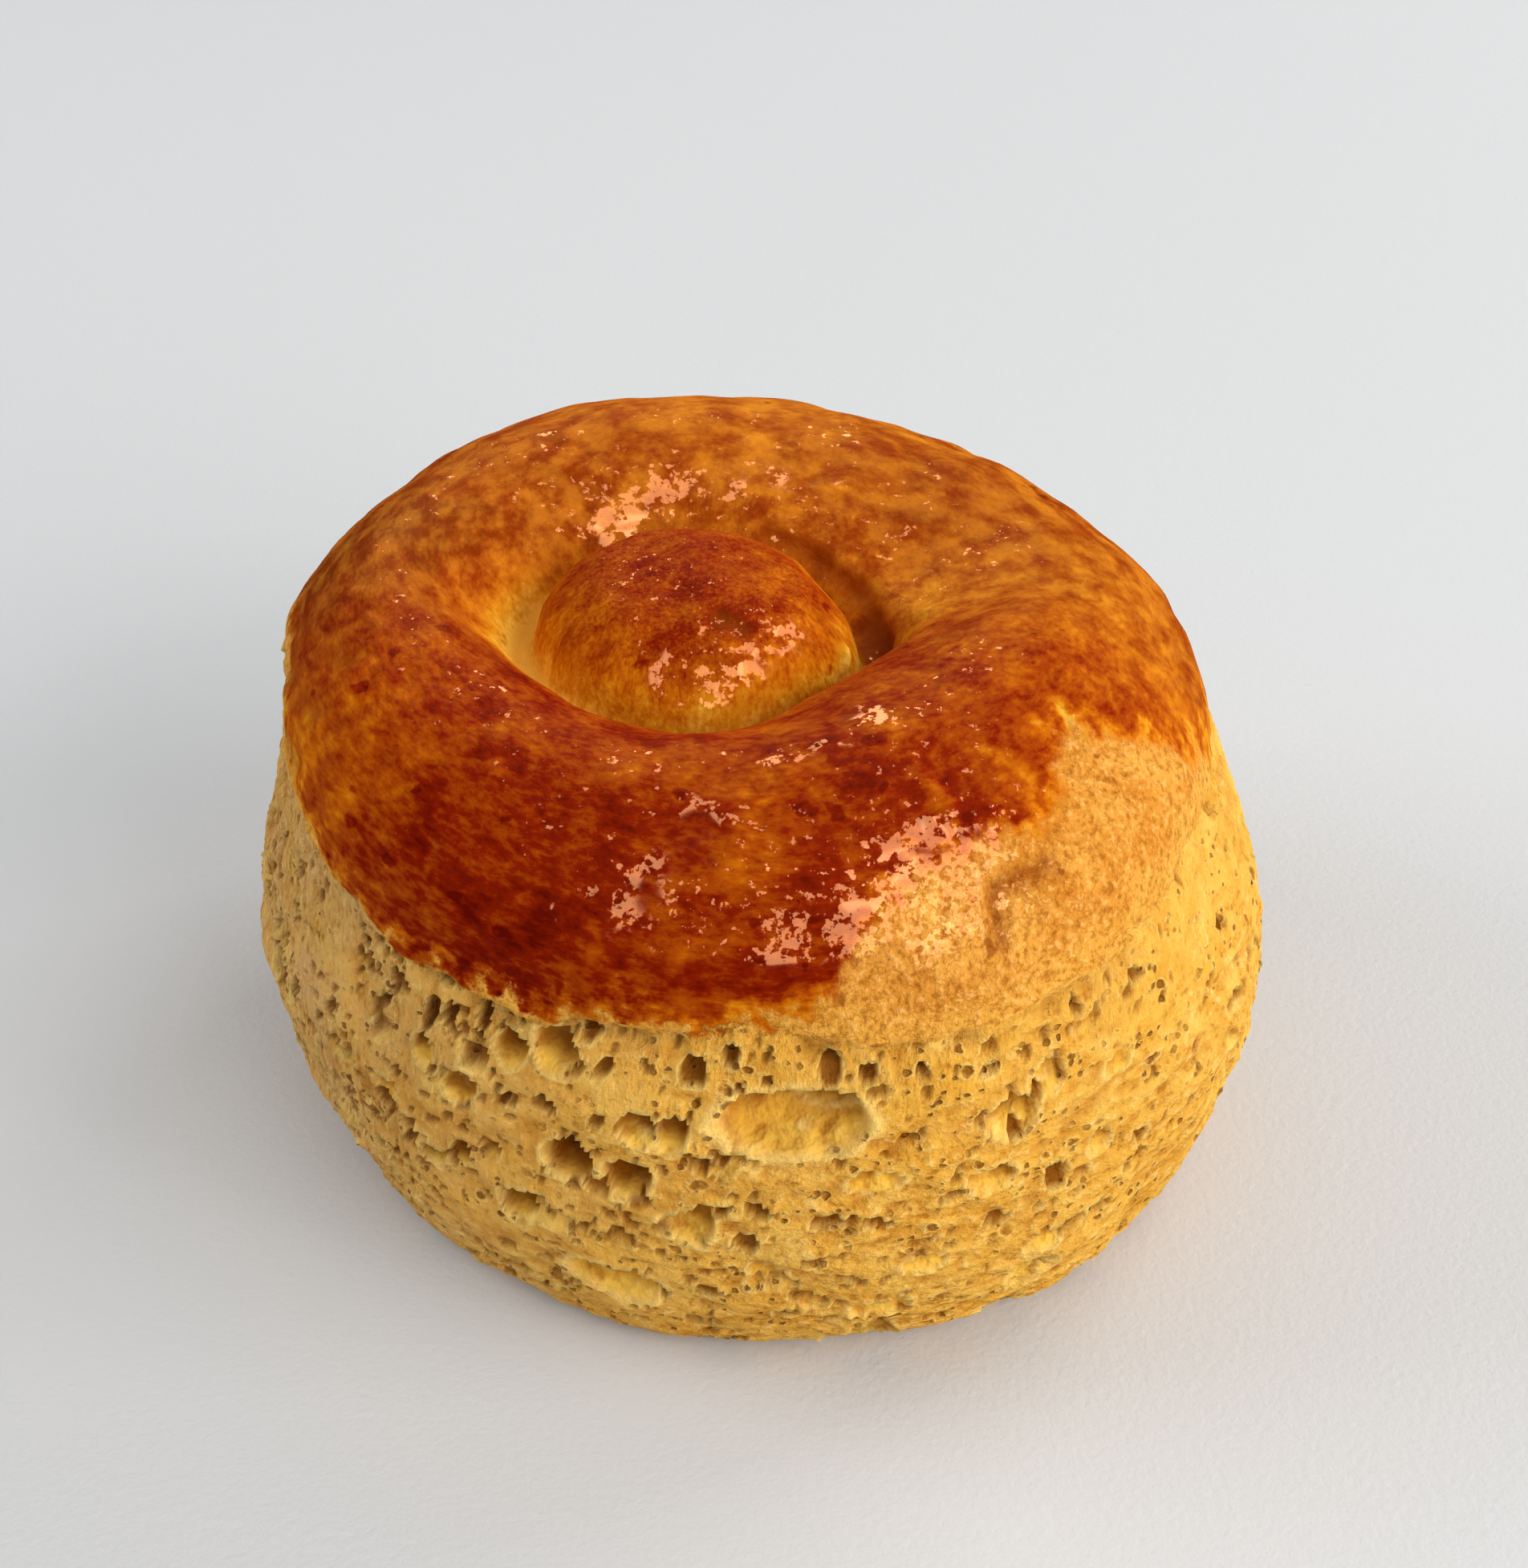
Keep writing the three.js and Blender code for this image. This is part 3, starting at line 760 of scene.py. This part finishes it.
# %% [markdown]
# ## Three effects that are used again and again
# Baked dough is blotched, its glaze is streaked by the brush, and the crumb is pricked with tiny
# holes. Each effect is a node group, built once. The blotches are noise with its contrast raised. The
# streaks are noise too, read at the stored place that runs slowly round the ring. The pricks are cells, of
# which a share is dark near the middle. Blotches and pricks read Object coordinates, in which
# one unit is a metre.


# %% Making a node group
def new_group(name, inputs, outputs):
    """An empty node group with number sockets, and its input and output nodes."""
    group = bpy.data.node_groups.new(name, "ShaderNodeTree")
    for label, value in inputs.items():
        made = group.interface.new_socket(name=label, in_out="INPUT", socket_type="NodeSocketFloat")
        made.default_value = value
    for label in outputs:
        group.interface.new_socket(name=label, in_out="OUTPUT", socket_type="NodeSocketFloat")
    return group, group.nodes.new("NodeGroupInput"), group.nodes.new("NodeGroupOutput")


def grain_coordinates(given):
    """Object coordinates in grains, with the heights divided by the stretch."""
    where = add("ShaderNodeTexCoord").outputs["Object"]
    x_scale = calc("DIVIDE", 1 / MM, given.outputs["Grain mm"])
    z_scale = calc("DIVIDE", x_scale, given.outputs["Stretch"])
    scales = add("ShaderNodeCombineXYZ", {0: x_scale, 1: x_scale, 2: z_scale}).outputs[0]
    return add("ShaderNodeVectorMath", {0: where, 1: scales}, operation="MULTIPLY").outputs[0]


def fine_noise(place, given):
    """Noise with one unit to a grain."""
    return add("ShaderNodeTexNoise", {
        "Vector": place, "Scale": 1.0, "Detail": given.outputs["Detail"], "Roughness": 0.6}).outputs[0]


def spread(group, output="Amount", **values):
    """Places a group and sets its inputs. An underscore in a name stands for a space. The output
    may be a list of names, for several outputs of one node."""
    made = add("ShaderNodeGroup", node_tree=group)
    for name, value in values.items():
        made.inputs[name.replace("_", " ")].default_value = value
    if isinstance(output, list):
        return [made.outputs[name] for name in output]
    return made.outputs[output]


# %% Blotches
blotches, given, result = new_group(
    "blotches", {"Grain mm": 4.0, "Stretch": 1.0, "Detail": 4.0, "Contrast": 2.0}, ["Amount", "Raw"])
tree = blotches
noise = fine_noise(grain_coordinates(given), given)
reach = calc("DIVIDE", 0.5, given.outputs["Contrast"])
tree.links.new(between(noise, minus(0.5, reach), plus(0.5, reach)), result.inputs["Amount"])
tree.links.new(noise, result.inputs["Raw"])
print("group:", tree.name)

# %% Streaks
streaks, given, result = new_group("streaks", {"Grain mm": 1.0, "Detail": 4.0}, ["Raw"])
tree = streaks
place = add("ShaderNodeAttribute", attribute_name="ring_place").outputs["Vector"]
grains_per_mm = calc("DIVIDE", 1.0, given.outputs["Grain mm"])
in_grains = add("ShaderNodeVectorMath", {0: place, "Scale": grains_per_mm}, operation="SCALE").outputs[0]
tree.links.new(fine_noise(in_grains, given), result.inputs["Raw"])
print("group:", tree.name)

# %% Pricks
pricks, given, result = new_group(
    "pricks", {"Grain mm": 1.0, "Stretch": 1.0, "Share": 0.5, "Size": 0.4}, ["Amount", "Rim"])
tree = pricks
straight = grain_coordinates(given)
wobble = add("ShaderNodeTexNoise", {"Vector": straight, "Scale": 1.7, "Detail": 2.0}).outputs["Color"]
wobble = add("ShaderNodeVectorMath", {0: wobble, 1: (0.6, 0.6, 0.6)}, operation="MULTIPLY").outputs[0]
bent = add("ShaderNodeVectorMath", {0: straight, 1: wobble}, operation="ADD").outputs[0]
cells = add("ShaderNodeTexVoronoi", {"Vector": bent, "Scale": 1.0})
chosen = add("ShaderNodeSeparateColor", {0: cells.outputs["Color"]})
has_prick = calc("LESS_THAN", chosen.outputs[0], given.outputs["Share"])
radius = times(given.outputs["Size"], plus(0.5, chosen.outputs[1]))
away = calc("DIVIDE", cells.outputs["Distance"], radius)
pit = between(away, 0.55, 1.0, 1.0, 0.0)
rim = times(between(away, 0.85, 1.1), between(away, 1.1, 1.5, 1.0, 0.0))
tree.links.new(times(pit, has_prick), result.inputs["Amount"])
tree.links.new(times(rim, has_prick), result.inputs["Rim"])
print("group:", tree.name)

# %% [markdown]
# ## The finish of the scone
# One material covers the whole scone, because it is one piece of dough. The crumb is ochre, with painted
# light on its webs and rims and painted shade in its pricks, its low grain and under its bubbles' roofs,
# whose walls are browner, partly as painted shade, and its left side is painted greyer as shade. The crust
# runs from yellow in the groove, where the heat came late, through orange to a dark red-brown on the
# shoulder; its creases are painted darker as shade, and its back half is blended to a streaked tint,
# partly as painted sheen. Where the egg glaze lies it is smooth and shines in broken patches, and where
# it is missing it is golden, matt and grainy.

# %% Masks
material = bpy.data.materials.new("baked_dough")
material.use_nodes = True
tree = material.node_tree
shader = tree.nodes["Principled BSDF"]

FRAY = 2.4  # mm by which noise moves the crust's edge
FLAKING = 7.0  # mm by which it moves the glaze's edge
fray = minus(spread(blotches, "Raw", Grain_mm=0.9, Detail=5.0), 0.5)
crust_line = plus(stored("crust_side"), times(fray, FRAY))
is_crust = between(crust_line, -0.15, 0.25)
flaking = minus(spread(blotches, "Raw", Grain_mm=1.5, Detail=6.0), 0.5)
glaze_line = plus(stored("glaze_side"), times(flaking, FLAKING))
glaze_share = calc("DIVIDE", glaze_line, stored("glaze_fade"))
is_glazed = between(glaze_share, -0.8, 0.5)
print("masks use", len(tree.nodes), "nodes")

# %% Grain of the crumb
upright = spread(blotches, "Raw", Grain_mm=0.34, Stretch=3.0, Detail=4.0)
level = spread(blotches, "Raw", Grain_mm=1.0, Stretch=0.7, Detail=5.0)
torn = mix(stored("strands"), level, upright)
wall_grain = spread(blotches, "Raw", Grain_mm=1.6, Detail=3.0)
torn = mix(stored("cavity"), torn, wall_grain)
not_cavity = minus(1.0, stored("cavity"))
prick_patches = spread(blotches, Grain_mm=5.0, Detail=2.0, Contrast=4.0)
open_crumb = times(not_cavity, prick_patches)
both = ["Amount", "Rim"]
fine_pricks, fine_rims = spread(pricks, both, Grain_mm=0.75, Stretch=0.8, Share=0.4, Size=0.3)
round_pricks, round_rims = spread(pricks, both, Grain_mm=1.7, Stretch=0.8, Share=0.3, Size=0.27)
# Small holes, painted dark in the crumb's colour as shade and pressed in by the bump.
holes_here = times(calc("MAXIMUM", fine_pricks, round_pricks), open_crumb)
rims_here = times(calc("MAXIMUM", fine_rims, round_rims), open_crumb)
print("nodes after the crumb's grain:", len(tree.nodes))

# %% Colour of the crumb
mottle = spread(blotches, Grain_mm=3.0, Detail=5.0, Contrast=2.2)
warm_patch = spread(blotches, Grain_mm=5.0, Detail=3.0, Contrast=3.5)
# The left side of the crumb, away from the strong lights on the right, is painted greyer as shade.
left_shade_patch = spread(blotches, Grain_mm=4.5, Detail=4.0, Contrast=2.5)
left_shade = times(plus(0.35, times(left_shade_patch, 0.5)), stored("left_turn"))
toasted = spread(pricks, Grain_mm=7.0, Share=0.16, Size=0.22)
# The walls of the large bubbles are painted browner and mottled: partly their own colour, partly painted
# shade.
wall_patch = spread(blotches, Grain_mm=2.0, Detail=5.0, Contrast=3.0)
wall = blend(wall_patch, colour(0.44, 0.17, 0.012), colour(0.78, 0.42, 0.045))
crumb = blend(mottle, colour(0.66, 0.32, 0.042), colour(0.83, 0.48, 0.092))
for layer, tint in [  # each painted over the ones before
    (times(warm_patch, 0.35), colour(0.80, 0.36, 0.025)),
    # painted shade on the left side of the crumb
    (left_shade, colour(0.58, 0.34, 0.14)),
    (times(toasted, 0.7), colour(0.62, 0.20, 0.012)),
    # partly painted shade on the walls of the large bubbles
    (times(stored("cavity"), 0.8), wall),
    # painted light on the bubbles' floors
    (times(stored("lit"), 0.6), colour(0.92, 0.58, 0.09)),
    # painted shade in the crumb's low spots
    (times(stored("low_spots"), 0.6), colour(0.46, 0.155, 0.010)),
    # painted shade in the low torn grain and painted light on its high grain, which is also its bump
    (between(torn, 0.48, 0.30, 0.0, 0.7), colour(0.38, 0.115, 0.006)),
    (between(torn, 0.54, 0.70, 0.0, 0.5), colour(0.95, 0.66, 0.22)),
    # painted light on the webs between bubbles and on the rims of the pricks
    (times(stored("web"), 0.65), colour(0.96, 0.68, 0.21)),
    (times(rims_here, 0.4), colour(0.92, 0.64, 0.20)),
    # painted shade under the bubbles' roofs and under the crust's torn edge
    (times(stored("shade"), 0.95), colour(0.20, 0.048, 0.002)),
    # painted shade inside the pricks
    (times(holes_here, 0.8), colour(0.20, 0.045, 0.002)),
]:
    crumb = blend(layer, crumb, tint)
print("nodes after the crumb's colour:", len(tree.nodes))

# %% Colour of the crust
cloud = minus(spread(blotches, "Raw", Grain_mm=3.0, Detail=6.0), 0.5)
sweep = minus(spread(streaks, "Raw", Grain_mm=1.8, Detail=6.0), 0.5)
speck = minus(spread(streaks, "Raw", Grain_mm=0.5, Detail=4.0), 0.5)
scorch = spread(pricks, Grain_mm=2.4, Stretch=0.7, Share=0.35, Size=0.22)
brown_here = stored("brown")
for unevenness, strength in [(cloud, 0.8), (sweep, 0.5), (speck, 0.65), (scorch, 0.20)]:
    brown_here = plus(brown_here, times(unevenness, strength))
brown_here = minus(brown_here, between(glaze_line, 0.0, 2.0, 0.24, 0.0))  # thinner at its edge
browning = add("ShaderNodeValToRGB", {"Fac": brown_here})
ramp = browning.color_ramp.elements
STOPS = [
    (0.0, colour(0.86, 0.48, 0.055)), (0.22, colour(0.66, 0.27, 0.010)),
    (0.42, colour(0.52, 0.13, 0.002)), (0.60, colour(0.345, 0.056, 0.0014)),
    (0.80, colour(0.20, 0.009, 0.0003)), (1.0, colour(0.10, 0.002, 0.0003)),
]
while len(ramp) < len(STOPS):
    ramp.new(0.5)
for element, (place, tint) in zip(ramp, STOPS):
    element.position = place
    element.color = tint
# The back half of the crust is blended half way to a streaked tint: partly streaked colour, partly painted
# sheen.
smudge = between(spread(streaks, "Raw", Grain_mm=1.8, Detail=6.0), 0.36, 0.64)
streaked_sheen_tint = blend(smudge, colour(0.62, 0.22, 0.014), colour(0.25, 0.048, 0.002))
back_sheen = times(stored("back_sheen"), 0.5)
glaze_colour = blend(back_sheen, browning.outputs[0], streaked_sheen_tint)
print("nodes after the glaze's colour:", len(tree.nodes))

# %% Colour of the golden skin
grain = spread(blotches, "Raw", Grain_mm=0.5, Detail=4.0)
near_crumb = between(crust_line, 4.0, 0.3, 0.0, 0.75)
dots = spread(pricks, Grain_mm=2.2, Share=0.3, Size=0.2)
crack = calc("ABSOLUTE", minus(spread(blotches, "Raw", Grain_mm=1.8, Detail=3.0), 0.5))
gold = blend(spread(blotches, Grain_mm=3.0, Detail=5.0, Contrast=2.8),
             colour(0.58, 0.21, 0.021), colour(0.76, 0.34, 0.052))
for layer, tint in [
    (near_crumb, colour(0.74, 0.36, 0.050)),
    (between(grain, 0.50, 0.32, 0.0, 0.6), colour(0.28, 0.07, 0.004)),
    (between(grain, 0.52, 0.66, 0.0, 0.6), colour(0.88, 0.46, 0.12)),
    (times(dots, 0.8), colour(0.26, 0.06, 0.004)),
    (between(crack, 0.0, 0.025, 0.45, 0.0), colour(0.34, 0.09, 0.006)),
]:
    gold = blend(layer, gold, tint)
crust_colour = blend(is_glazed, gold, glaze_colour)
# painted shade in the creases and pits
crust_colour = blend(times(stored("crease"), 0.7), crust_colour, colour(0.24, 0.04, 0.002))
print("nodes after the golden skin:", len(tree.nodes))

# %% Colour of the underside
base_brown = blend(spread(blotches, Grain_mm=5.0, Contrast=2.0),
                   colour(0.48, 0.19, 0.03), colour(0.30, 0.09, 0.012))
surface_colour = blend(is_crust, crumb, crust_colour)
surface_colour = blend(between(stored("underside"), 0.0, 0.05), surface_colour, base_brown)
tree.links.new(surface_colour, shader.inputs["Base Color"])
print("nodes after the underside:", len(tree.nodes))

# %% Shine
flakes = spread(blotches, "Raw", Grain_mm=0.8, Stretch=0.8, Detail=6.0)
small_flakes = spread(blotches, "Raw", Grain_mm=0.45, Detail=5.0)
flakes = mix(is_glazed, small_flakes, flakes)
strokes = minus(spread(blotches, "Raw", Grain_mm=0.3, Stretch=1.8, Detail=3.0), 0.5)
flakes = plus(flakes, times(strokes, 0.4))
wetness = between(glaze_share, -1.0, 0.5, 0.155, 0.19)
flakes = plus(flakes, times(stored("shiny"), wetness))
WET_FROM, WET_TO = 0.635, 0.67  # where the glaze turns wet, on the scale of the flakes
wet = times(between(flakes, WET_FROM, WET_TO), is_crust)
coat = times(wet, between(glaze_share, -6.0, -0.5, 0.4, 1.0))  # weaker on the golden skin
glaze_rough = between(wet, 0.0, 1.0, 0.5, 0.3)
crust_rough = mix(is_glazed, 0.6, glaze_rough)
rough = mix(is_crust, 0.9, crust_rough)
tree.links.new(rough, shader.inputs["Roughness"])
tree.links.new(coat, shader.inputs["Coat Weight"])
for name, value in {
    "Coat Roughness": 0.10, "Coat IOR": 1.5, "IOR": 1.4,
    "Specular IOR Level": 0.03, "Specular Tint": colour(1.0, 0.60, 0.30),
    "Subsurface Weight": 0.2, "Subsurface Radius": (1.0, 0.35, 0.1), "Subsurface Scale": 0.8 * MM,
}.items():
    shader.inputs[name].default_value = value
print("nodes after the shine:", len(tree.nodes))

# %% Fine relief, as a bump in millimetres
TORN_HEIGHT = 0.8
PRICK_DEPTH = 0.35
PRICK_RIM = 0.08
GLAZE_DIMPLES = 0.16
BRUSH_STREAKS = 0.12
GOLD_GRAIN = 0.45
crumb_bump = times(torn, TORN_HEIGHT)
crumb_bump = minus(crumb_bump, times(holes_here, PRICK_DEPTH))
crumb_bump = plus(crumb_bump, times(rims_here, PRICK_RIM))
dimples = spread(blotches, "Raw", Grain_mm=1.6, Detail=2.0)
brushed = spread(streaks, "Raw", Grain_mm=0.5, Detail=2.0)
glaze_bump = plus(times(dimples, GLAZE_DIMPLES), times(brushed, BRUSH_STREAKS))
gold_bump = times(grain, GOLD_GRAIN)
crust_bump = mix(is_glazed, gold_bump, glaze_bump)
bump_height = mix(is_crust, crumb_bump, crust_bump)
bump = add("ShaderNodeBump", {"Strength": 1.0, "Distance": MM, "Height": bump_height})
tree.links.new(bump.outputs["Normal"], shader.inputs["Normal"])
mesh.materials.append(material)
print("finish uses", len(tree.nodes), "nodes")

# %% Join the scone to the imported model
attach(scone, "root")
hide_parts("scone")
print("joined:", scone.name)

# %% [markdown]
# ## The studio
# The scone stands on a plain pale floor. Four wide soft panels light the dough, two of them strong ones
# on the right, which make that side bright and leave the left in soft shade. They are
# hidden from reflections. Five warm panels do the opposite: they light nothing, and are only seen
# where the wet glaze mirrors them as broken orange highlights.

# %% Floor
FLOOR_SIZE = 3.0  # metres
FLOOR_GAP = 0.00005  # metres under the base
TOOTH_HEIGHT = 0.05  # mm
corner = FLOOR_SIZE / 2
floor_z = low.z - FLOOR_GAP
floor_mesh = bpy.data.meshes.new("floor")
floor_mesh.from_pydata(
    [(-corner, -corner, floor_z), (corner, -corner, floor_z),
     (corner, corner, floor_z), (-corner, corner, floor_z)],
    [], [(0, 1, 2, 3)])
floor = bpy.data.objects.new("floor", floor_mesh)
bpy.context.scene.collection.objects.link(floor)
floor.visible_glossy = False
paper = bpy.data.materials.new("pale_floor")
paper.use_nodes = True
tree = paper.node_tree
paper_shader = tree.nodes["Principled BSDF"]
paper_shader.inputs["Base Color"].default_value = colour(0.62, 0.62, 0.62)
paper_shader.inputs["Roughness"].default_value = 0.9
paper_shader.inputs["Specular IOR Level"].default_value = 0.0
tooth = spread(blotches, "Raw", Grain_mm=0.6, Detail=3.0)
paper_bump = add("ShaderNodeBump", {"Distance": MM, "Height": times(tooth, TOOTH_HEIGHT)})
tree.links.new(paper_bump.outputs["Normal"], paper_shader.inputs["Normal"])
floor_mesh.materials.append(paper)
print("floor:", FLOOR_SIZE, "m wide")


# %% Lights
def soft_light(name, place, size, power, tint, aim=(0, 0, 0.02)):
    """A square area light that faces the aim, in metres and watts."""
    data = bpy.data.lights.new(name, "AREA")
    data.size = size
    data.energy = power
    data.color = tint
    light = bpy.data.objects.new(name, data)
    light.location = place
    light.rotation_euler = (Vector(aim) - Vector(place)).to_track_quat("-Z", "Y").to_euler()
    bpy.context.scene.collection.objects.link(light)
    return light


soft_lights = [
    soft_light("right_light", (1.0, -0.35, 0.5), 0.7, 6.7, (1.0, 0.98, 0.95)),
    soft_light("right_front_light", (0.6, -0.7, 0.4), 0.6, 6.0, (1.0, 0.98, 0.95)),
    soft_light("back_light", (0.7, 0.6, 0.55), 0.6, 4.5, (0.98, 0.99, 1.0)),
    soft_light("left_light", (-0.9, 0.1, 0.5), 0.6, 4.3, (0.98, 0.99, 1.0)),
]
for light in soft_lights:
    light.visible_glossy = False  # the wide panels light the dough but don't mirror in the glaze
GLINT = (1.0, 0.46, 0.20)
glints = [
    soft_light("front_glint", (-0.03, -0.34, 0.38), 0.50, 9.4, GLINT),
    soft_light("top_glint", (0.07, 0.03, 0.50), 0.44, 6.7, GLINT),
    soft_light("corner_glint", (0.24, -0.28, 0.36), 0.26, 2.5, GLINT),
    soft_light("side_glint", (0.34, -0.02, 0.35), 0.26, 2.6, GLINT),
    soft_light("back_glint", (-0.05, 0.45, 0.38), 0.34, 4.0, GLINT),
]
for light in glints:
    light.visible_diffuse = False  # the warm panels only give the glaze its highlights
world = bpy.data.worlds.new("studio")
world.use_nodes = True
world.node_tree.nodes["Background"].inputs["Color"].default_value = colour(0.93, 0.97, 1.0)
world.node_tree.nodes["Background"].inputs["Strength"].default_value = 0.50
world.cycles_visibility.glossy = False
bpy.context.scene.world = world
bpy.context.scene.view_settings.view_transform = "Standard"
print(len(soft_lights), "soft panels and", len(glints), "glint panels")

# %% [markdown]
# ## The camera
# The camera looks down on the front of the scone from close by, a hand's length
# away, so the front looks larger than the back.

# %% Camera
LOOK_DOWN = np.radians(33.5)
CAMERA_PLACE = (0.0002, -0.138, 0.1141)  # metres
SENSOR_WIDTH = 36.0  # mm
LENS = 55.8  # mm
camera_data = bpy.data.cameras.new("camera")
camera_data.sensor_width = SENSOR_WIDTH
camera_data.lens = LENS
camera_data.clip_start = 0.005
camera = bpy.data.objects.new("camera", camera_data)
direction = Vector((0, np.cos(LOOK_DOWN), -np.sin(LOOK_DOWN)))
camera.location = CAMERA_PLACE
camera.rotation_euler = direction.to_track_quat("-Z", "Y").to_euler()
bpy.context.scene.collection.objects.link(camera)
bpy.context.scene.camera = camera
print("camera looks down by", round(float(np.degrees(LOOK_DOWN)), 1), "degrees")
